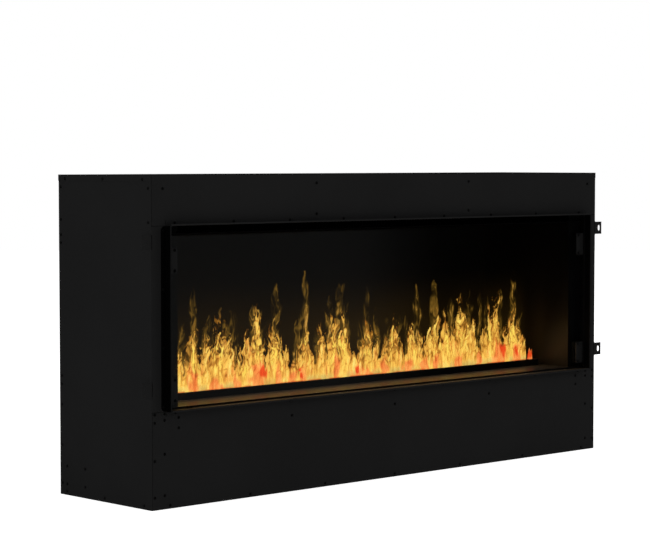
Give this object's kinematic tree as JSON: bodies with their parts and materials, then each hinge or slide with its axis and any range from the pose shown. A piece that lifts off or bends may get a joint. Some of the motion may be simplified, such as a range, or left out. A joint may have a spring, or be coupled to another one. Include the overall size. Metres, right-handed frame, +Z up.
{
  "type": "electric fireplace",
  "caption": "Long built-in mist-flame fireplace: black sheet-metal firebox, glazed front with a projecting collar, mist slot, lift-out tank and fan heater.",
  "frame": {"origin": "centre of the bounding box in X and Y, at the surface the firebox stands on", "axes": "+X to the right along the opening, +Y to the back, +Z up; the glass faces -Y"},
  "size_m": [1.657, 0.381, 0.783],
  "materials": {
    "casing": "fine matt black powder coat",
    "collar": "matt black powder coat",
    "liner": "heat-resistant satin black paint",
    "cover": "satin dark grey paint",
    "screw": "blackened steel",
    "glass": "clear toughened glass",
    "clip": "matt dark grey",
    "rubber": "black rubber",
    "galvanised": "zinc-coated steel",
    "steel": "turned steel",
    "black_plastic": "black moulded plastic",
    "white_plastic": "natural moulded plastic",
    "tank_plastic": "translucent moulded plastic",
    "lens": "amber clear plastic",
    "board": "green solder mask",
    "heater": "bare fins",
    "ceramic": "fired ceramic"
  },
  "bodies": {
    "housing": {"side_panel_left": "casing", "side_panel_right": "casing", "top_cover": "casing", "header_panel": "casing", "apron_panel": "casing", "back_panel": "casing", "base_pan": "galvanised", "corner_brackets": "galvanised", "hearth_supports": "galvanised", "heater_housing": "galvanised", "cassette_tray": "galvanised", "tank_well": "galvanised", "cassette_deck": "galvanised", "collar_left": "collar", "collar_right": "collar", "warm_air_duct": "collar", "outlet_grille": "collar", "front_screws": "screw", "collar_screws": "screw", "side_screws": "screw", "jamb_left": "liner", "jamb_right": "liner", "liner_left": "liner", "liner_right": "liner", "liner_back": "liner", "liner_ceiling": "liner", "hearth_floor": "liner", "fan_frame_left": "black_plastic", "fan_frame_right": "black_plastic", "control_panel": "black_plastic", "terminal_box": "black_plastic", "cable_gland": "black_plastic", "mist_duct": "black_plastic", "sump": "white_plastic", "transducers": "ceramic", "control_board": "board", "led_bar": "board", "led_lenses": "lens", "heater_element": "heater", "power_supply": "heater", "blower_bearing": "steel", "blower_motor": "steel"},
    "glass": {"glass_panel": "glass", "glass_clips": "clip", "clip_screws": "screw", "glass_pads": "rubber"},
    "blower": {"blower_wheel": "heater", "blower_shaft": "steel"},
    "fan_left": {"fan_rotor_left": "black_plastic"},
    "fan_right": {"fan_rotor_right": "black_plastic"},
    "cover": {"slot_cover": "cover"},
    "tank": {"water_tank": "tank_plastic"},
    "cap": {"tank_cap": "black_plastic"},
    "handle": {"tank_handle": "black_plastic"},
    "rocker": {"power_rocker": "black_plastic"},
    "heat": {"heat_button": "black_plastic"},
    "flame": {"flame_button": "black_plastic"},
    "light": {"light_button": "black_plastic"},
    "float": {"float_ring": "white_plastic"}
  },
  "joints": [
    {"name": "glass_pull", "type": "slide", "parent": "housing", "child": "glass", "axis": [0, -1, 0], "range_m": [0, 0.12]},
    {"name": "blower_spin", "type": "hinge", "parent": "housing", "child": "blower", "pos_m": [0, 0.0005, 0.706], "axis": [1, 0, 0], "continuous": true},
    {"name": "fan_left_spin", "type": "hinge", "parent": "housing", "child": "fan_left", "pos_m": [-0.45, 0.0045, 0.2], "axis": [0, 1, 0], "continuous": true},
    {"name": "fan_right_spin", "type": "hinge", "parent": "housing", "child": "fan_right", "pos_m": [0.45, 0.0045, 0.2], "axis": [0, 1, 0], "continuous": true},
    {"name": "cover_lift", "type": "slide", "parent": "housing", "child": "cover", "axis": [0, 0, 1], "range_m": [0, 0.1]},
    {"name": "tank_lift", "type": "slide", "parent": "housing", "child": "tank", "axis": [0, 0, 1], "range_m": [0, 0.2]},
    {"name": "cap_turn", "type": "hinge", "parent": "tank", "child": "cap", "pos_m": [-0.49, 0.0595, 0.229], "axis": [0, 0, 1], "continuous": true},
    {"name": "handle_fold", "type": "hinge", "parent": "tank", "child": "handle", "pos_m": [-0.49, 0.0925, 0.23], "axis": [1, 0, 0], "range_deg": [0, 90]},
    {"name": "rocker_tilt", "type": "hinge", "parent": "housing", "child": "rocker", "pos_m": [0.51, 0.0805, 0.245], "axis": [0, 1, 0], "range_deg": [0, 16]},
    {"name": "heat_press", "type": "slide", "parent": "housing", "child": "heat", "axis": [0, 0, -1], "range_m": [0, 0.002], "stiffness_N_per_m": 300, "springref_m": -0.003},
    {"name": "flame_press", "type": "slide", "parent": "housing", "child": "flame", "axis": [0, 0, -1], "range_m": [0, 0.002], "stiffness_N_per_m": 300, "springref_m": -0.003},
    {"name": "light_press", "type": "slide", "parent": "housing", "child": "light", "axis": [0, 0, -1], "range_m": [0, 0.002], "stiffness_N_per_m": 300, "springref_m": -0.003},
    {"name": "float_rise", "type": "slide", "parent": "housing", "child": "float", "axis": [0, 0, 1], "range_m": [0, 0.012]}
  ]
}
